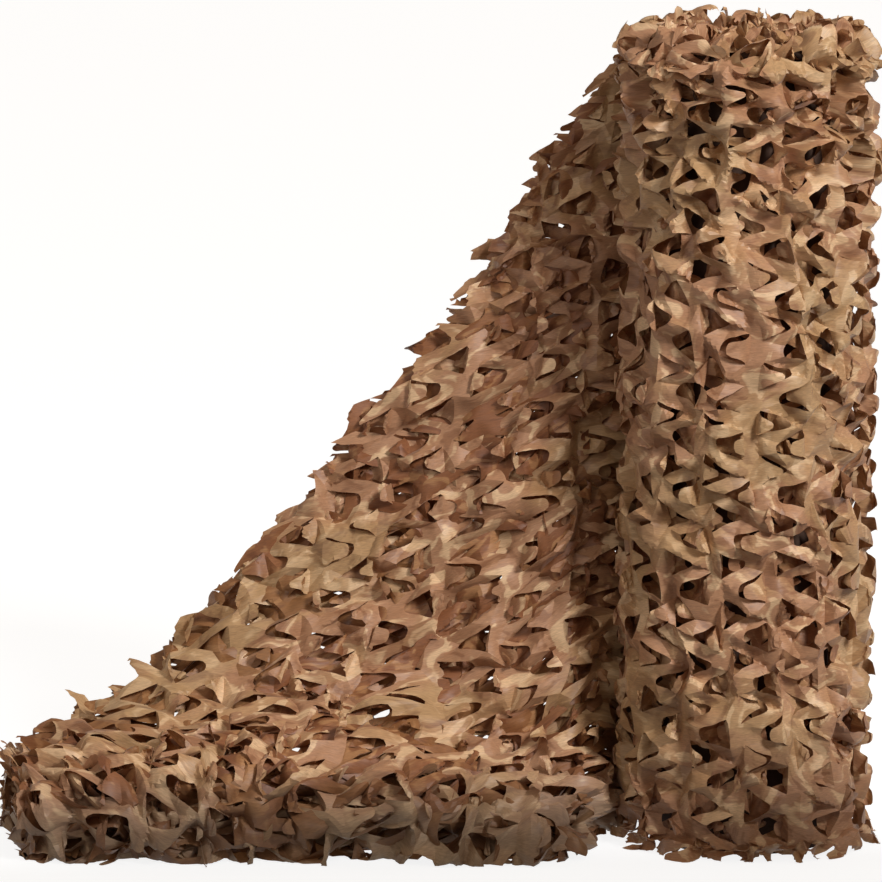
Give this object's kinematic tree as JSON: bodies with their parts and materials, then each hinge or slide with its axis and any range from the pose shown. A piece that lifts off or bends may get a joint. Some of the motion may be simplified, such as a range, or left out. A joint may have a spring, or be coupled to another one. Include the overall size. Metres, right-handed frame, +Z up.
{
  "type": "camouflage netting roll",
  "caption": "Leaf-cut desert camouflage netting: a bulk roll standing on end, with its loose end sloping off to one side and gathered in folds on the floor.",
  "frame": {"origin": "centre of the standing roll's foot, on the floor", "axes": "+Z up along the roll, +X from the loose end towards the roll, -Y towards the front of the loose end"},
  "size_m": [1.5898, 0.5631, 1.5],
  "materials": {
    "roll_cloth": "thin woven polyester printed in sand, tan and rosy brown, cut and opened into leaves",
    "loose_cloth": "the same printed and leaf-cut cloth"
  },
  "bodies": {
    "root": {"roll": "roll_cloth", "loose_end": "loose_cloth"}
  },
  "joints": []
}
